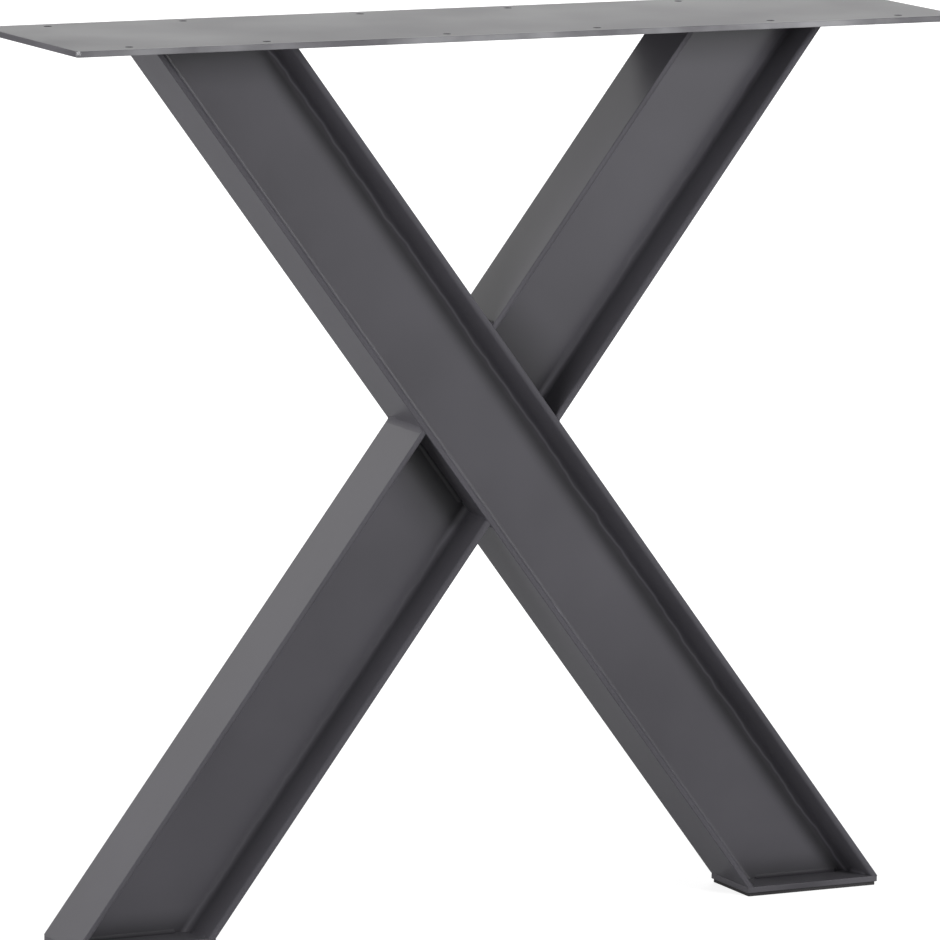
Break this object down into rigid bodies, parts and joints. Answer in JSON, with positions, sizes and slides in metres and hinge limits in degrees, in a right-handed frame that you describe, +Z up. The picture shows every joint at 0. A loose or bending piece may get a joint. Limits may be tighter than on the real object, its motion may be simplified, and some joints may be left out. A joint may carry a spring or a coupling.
{
  "type": "x shaped table leg",
  "caption": "X-shaped steel table leg of crossed double-T beams welded together, with a drilled top plate and padded foot plates.",
  "frame": {"origin": "on the floor, midway between the feet, under the top plate's centre", "axes": "+Z up, +X along the top plate, the front of the X faces -Y"},
  "size_m": [0.8, 0.2, 0.75],
  "materials": {
    "coated_steel": "satin anthracite powder coat",
    "pad_rubber": "matt black",
    "coated_weld": "satin anthracite powder coat over a rippled seam"
  },
  "bodies": {
    "root": {"top_plate": "coated_steel", "continuous_beam": "coated_steel", "upper_half_beam": "coated_steel", "lower_half_beam": "coated_steel", "left_foot_plate": "coated_steel", "right_foot_plate": "coated_steel", "left_foot_pad": "pad_rubber", "right_foot_pad": "pad_rubber", "left_foot_weld": "coated_weld", "right_foot_weld": "coated_weld", "left_top_weld": "coated_weld", "right_top_weld": "coated_weld", "upper_crossing_weld": "coated_weld", "lower_crossing_weld": "coated_weld"}
  },
  "joints": []
}
